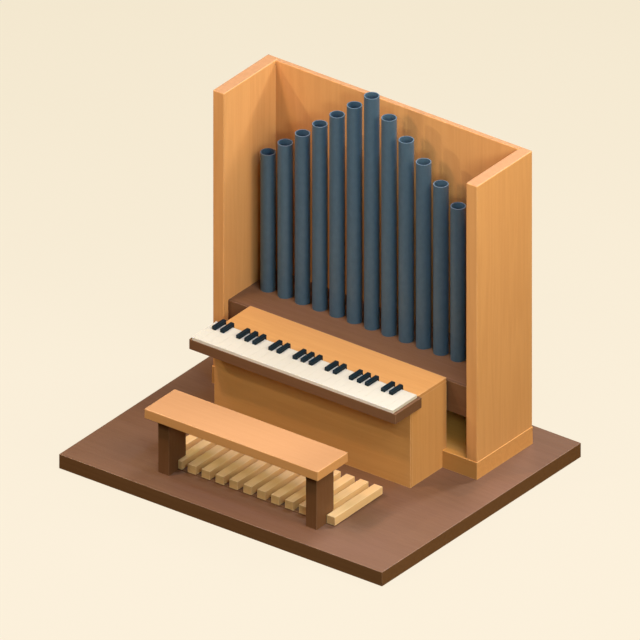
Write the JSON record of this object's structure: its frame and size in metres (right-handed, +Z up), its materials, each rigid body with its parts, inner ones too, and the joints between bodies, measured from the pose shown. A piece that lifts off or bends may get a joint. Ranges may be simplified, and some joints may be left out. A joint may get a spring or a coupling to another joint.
{
  "type": "pipe organ",
  "caption": "Pipe organ on a platform: open-fronted wooden case with a row of open metal pipes, console with one manual, hinged pedalboard and bench.",
  "frame": {"origin": "centre of the platform's underside, at floor level", "axes": "+Z up; front of the organ, where the player sits, faces -Y; +X to the player's right as the player faces the keys (bass at -X, treble at +X)"},
  "size_m": [3.23, 2.654, 3.018],
  "materials": {
    "platform_wood": "stained floorboards, dark brown, low sheen",
    "case_wood": "oiled warm orange-brown hardwood, satin",
    "windchest_wood": "dark brown stained wood, matt",
    "pipe_metal": "dull blue-grey organ metal, softly brushed",
    "console_wood": "oiled warm orange-brown hardwood, satin",
    "shelf_wood": "dark brown stained wood, satin",
    "natural_key": "cream key covering, semi-gloss",
    "sharp_key": "near-black key covering, semi-gloss",
    "rail_wood": "dark brown stained wood, matt",
    "pedal_wood": "pale maple, worn satin",
    "seat_wood": "pale orange-brown wood, satin",
    "leg_wood": "dark brown stained wood, satin"
  },
  "bodies": {
    "organ": {"platform": "platform_wood", "case_plinth": "case_wood", "left_side_panel": "case_wood", "right_side_panel": "case_wood", "back_panel": "case_wood", "windchest_front": "windchest_wood", "windchest_toe_board": "windchest_wood", "windchest_floor": "windchest_wood", "pipe_01": "pipe_metal", "pipe_02": "pipe_metal", "pipe_03": "pipe_metal", "pipe_04": "pipe_metal", "pipe_05": "pipe_metal", "pipe_06": "pipe_metal", "pipe_07": "pipe_metal", "pipe_08": "pipe_metal", "pipe_09": "pipe_metal", "pipe_10": "pipe_metal", "pipe_11": "pipe_metal", "pipe_12": "pipe_metal", "pipe_13": "pipe_metal", "console_left_cheek": "console_wood", "console_right_cheek": "console_wood", "console_front_panel": "console_wood", "console_back_panel": "console_wood", "console_lid": "console_wood", "key_shelf": "shelf_wood", "natural_keys": "natural_key", "sharp_keys": "sharp_key", "pedal_heel_rail": "rail_wood", "bench_seat": "seat_wood", "bench_left_leg": "leg_wood", "bench_right_leg": "leg_wood"},
    "pedal_01_body": {"pedal_01": "pedal_wood"},
    "pedal_02_body": {"pedal_02": "pedal_wood"},
    "pedal_03_body": {"pedal_03": "pedal_wood"},
    "pedal_04_body": {"pedal_04": "pedal_wood"},
    "pedal_05_body": {"pedal_05": "pedal_wood"},
    "pedal_06_body": {"pedal_06": "pedal_wood"},
    "pedal_07_body": {"pedal_07": "pedal_wood"},
    "pedal_08_body": {"pedal_08": "pedal_wood"},
    "pedal_09_body": {"pedal_09": "pedal_wood"},
    "pedal_10_body": {"pedal_10": "pedal_wood"},
    "pedal_11_body": {"pedal_11": "pedal_wood"},
    "pedal_12_body": {"pedal_12": "pedal_wood"},
    "pedal_13_body": {"pedal_13": "pedal_wood"}
  },
  "joints": [
    {"name": "pedal_01_press", "type": "hinge", "parent": "organ", "child": "pedal_01_body", "pos_m": [-0.846, -0.925, 0.136], "axis": [-1, 0, 0], "range_deg": [0, 0.9], "stiffness_Nm_per_rad": 60, "springref_deg": -11.46},
    {"name": "pedal_02_press", "type": "hinge", "parent": "organ", "child": "pedal_02_body", "pos_m": [-0.707, -0.925, 0.136], "axis": [-1, 0, 0], "range_deg": [0, 0.9], "stiffness_Nm_per_rad": 60, "springref_deg": -11.46},
    {"name": "pedal_03_press", "type": "hinge", "parent": "organ", "child": "pedal_03_body", "pos_m": [-0.568, -0.925, 0.136], "axis": [-1, 0, 0], "range_deg": [0, 0.9], "stiffness_Nm_per_rad": 60, "springref_deg": -11.46},
    {"name": "pedal_04_press", "type": "hinge", "parent": "organ", "child": "pedal_04_body", "pos_m": [-0.429, -0.925, 0.136], "axis": [-1, 0, 0], "range_deg": [0, 0.9], "stiffness_Nm_per_rad": 60, "springref_deg": -11.46},
    {"name": "pedal_05_press", "type": "hinge", "parent": "organ", "child": "pedal_05_body", "pos_m": [-0.29, -0.925, 0.136], "axis": [-1, 0, 0], "range_deg": [0, 0.9], "stiffness_Nm_per_rad": 60, "springref_deg": -11.46},
    {"name": "pedal_06_press", "type": "hinge", "parent": "organ", "child": "pedal_06_body", "pos_m": [-0.151, -0.925, 0.136], "axis": [-1, 0, 0], "range_deg": [0, 0.9], "stiffness_Nm_per_rad": 60, "springref_deg": -11.46},
    {"name": "pedal_07_press", "type": "hinge", "parent": "organ", "child": "pedal_07_body", "pos_m": [-0.012, -0.925, 0.136], "axis": [-1, 0, 0], "range_deg": [0, 0.9], "stiffness_Nm_per_rad": 60, "springref_deg": -11.46},
    {"name": "pedal_08_press", "type": "hinge", "parent": "organ", "child": "pedal_08_body", "pos_m": [0.127, -0.925, 0.136], "axis": [-1, 0, 0], "range_deg": [0, 0.9], "stiffness_Nm_per_rad": 60, "springref_deg": -11.46},
    {"name": "pedal_09_press", "type": "hinge", "parent": "organ", "child": "pedal_09_body", "pos_m": [0.266, -0.925, 0.136], "axis": [-1, 0, 0], "range_deg": [0, 0.9], "stiffness_Nm_per_rad": 60, "springref_deg": -11.46},
    {"name": "pedal_10_press", "type": "hinge", "parent": "organ", "child": "pedal_10_body", "pos_m": [0.405, -0.925, 0.136], "axis": [-1, 0, 0], "range_deg": [0, 0.9], "stiffness_Nm_per_rad": 60, "springref_deg": -11.46},
    {"name": "pedal_11_press", "type": "hinge", "parent": "organ", "child": "pedal_11_body", "pos_m": [0.544, -0.925, 0.136], "axis": [-1, 0, 0], "range_deg": [0, 0.9], "stiffness_Nm_per_rad": 60, "springref_deg": -11.46},
    {"name": "pedal_12_press", "type": "hinge", "parent": "organ", "child": "pedal_12_body", "pos_m": [0.683, -0.925, 0.136], "axis": [-1, 0, 0], "range_deg": [0, 0.9], "stiffness_Nm_per_rad": 60, "springref_deg": -11.46},
    {"name": "pedal_13_press", "type": "hinge", "parent": "organ", "child": "pedal_13_body", "pos_m": [0.822, -0.925, 0.136], "axis": [-1, 0, 0], "range_deg": [0, 0.9], "stiffness_Nm_per_rad": 60, "springref_deg": -11.46}
  ]
}
